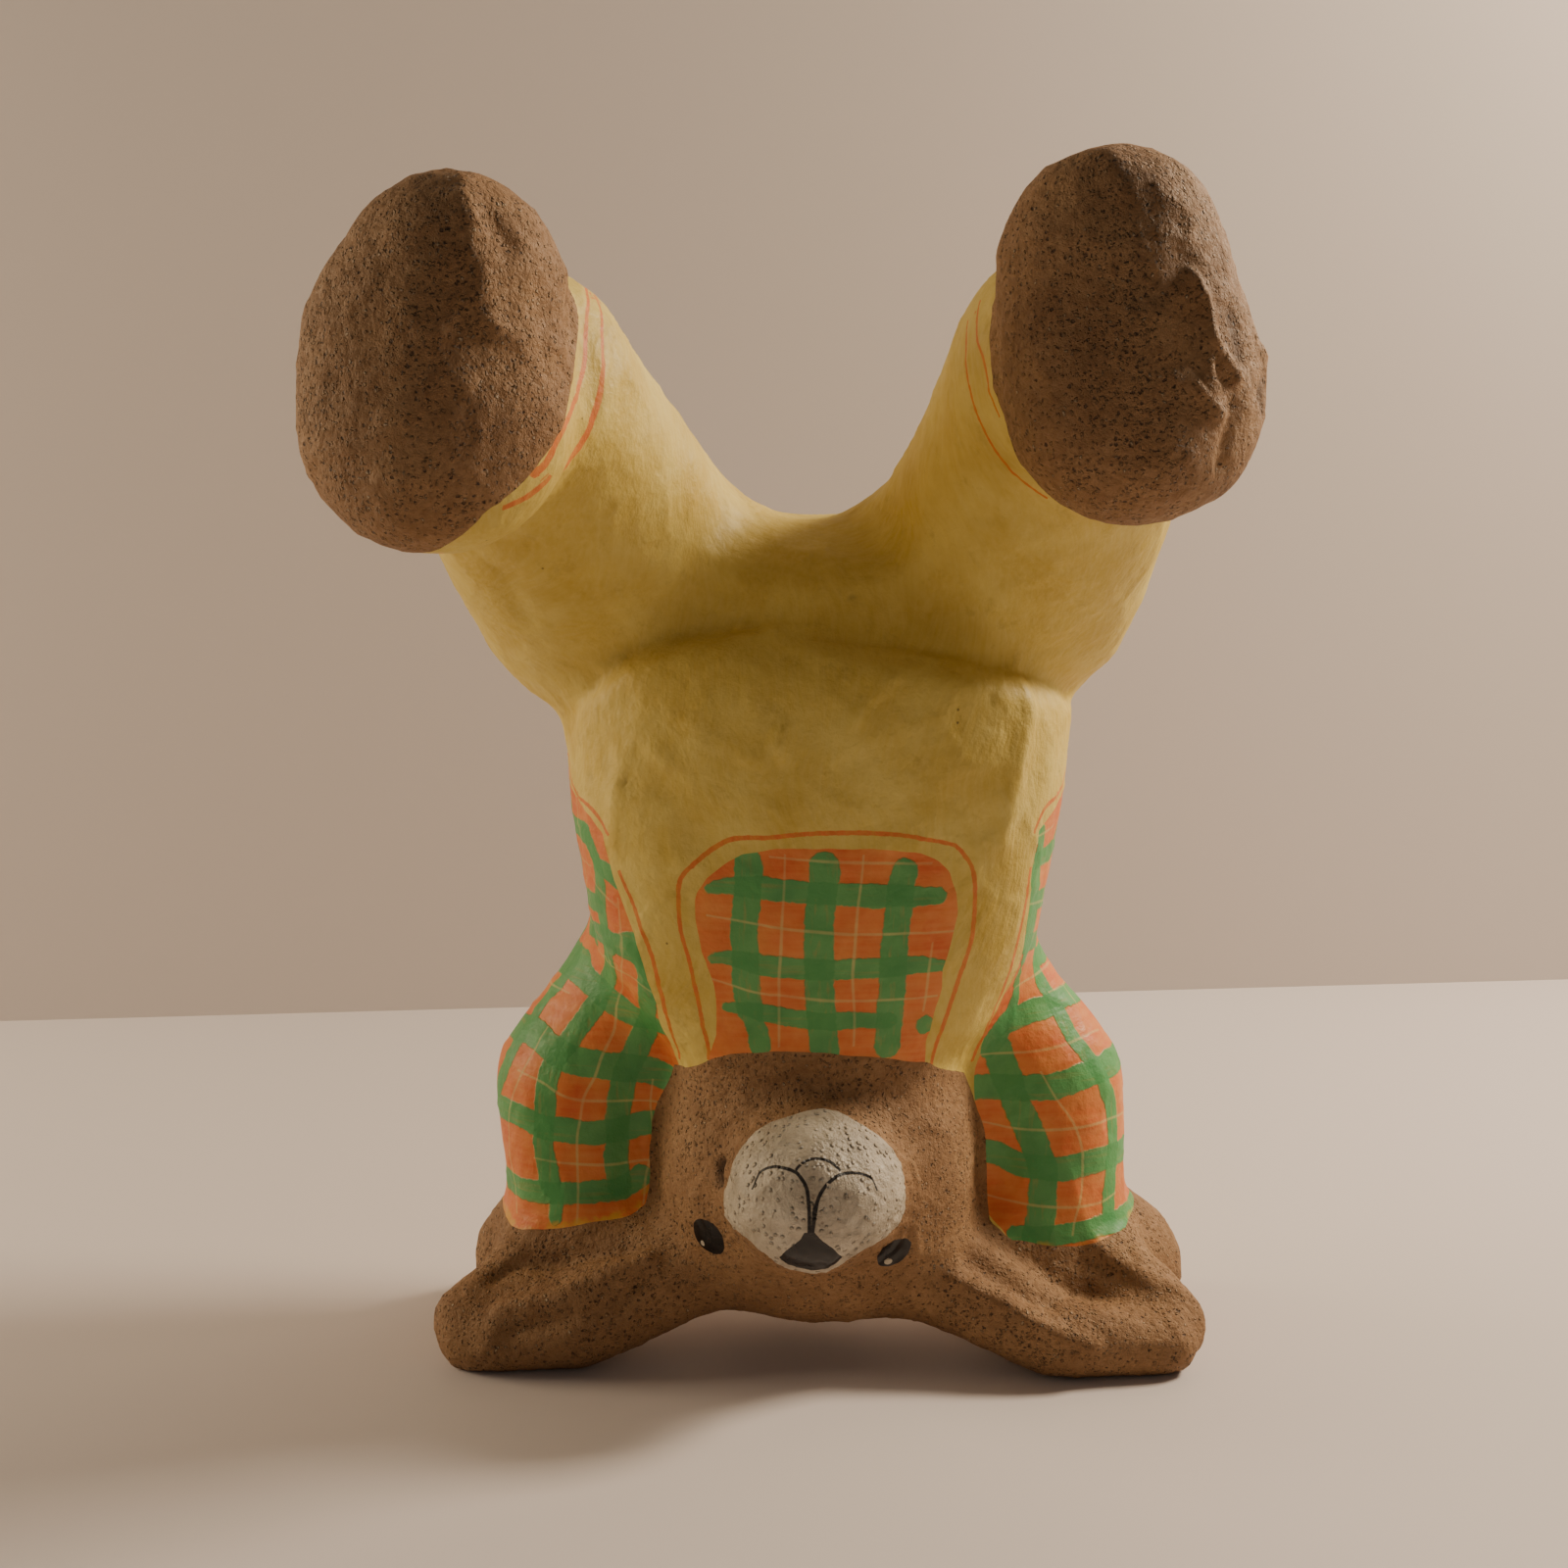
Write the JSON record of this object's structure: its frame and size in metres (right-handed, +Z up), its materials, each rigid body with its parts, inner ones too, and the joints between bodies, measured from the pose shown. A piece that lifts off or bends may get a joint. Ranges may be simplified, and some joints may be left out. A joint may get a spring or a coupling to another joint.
{
  "type": "papier-mache animal figure",
  "caption": "Long-eared papier-mache animal in dungarees, doing a handstand on its hands and ears, with its legs kicked up and apart and its soles to the front.",
  "frame": {"origin": "on the table, under the middle of the figure's bounding box", "axes": "+Z up from the hands to the feet, the front with the muzzle and soles towards -Y, +X to the right as seen from the front"},
  "size_m": [0.2914, 0.2456, 0.404],
  "materials": {
    "painted_paper": "matte hand-painted papier-mache, partly coated with brown grit"
  },
  "bodies": {
    "root": {"handstand_animal": "painted_paper"}
  },
  "joints": []
}
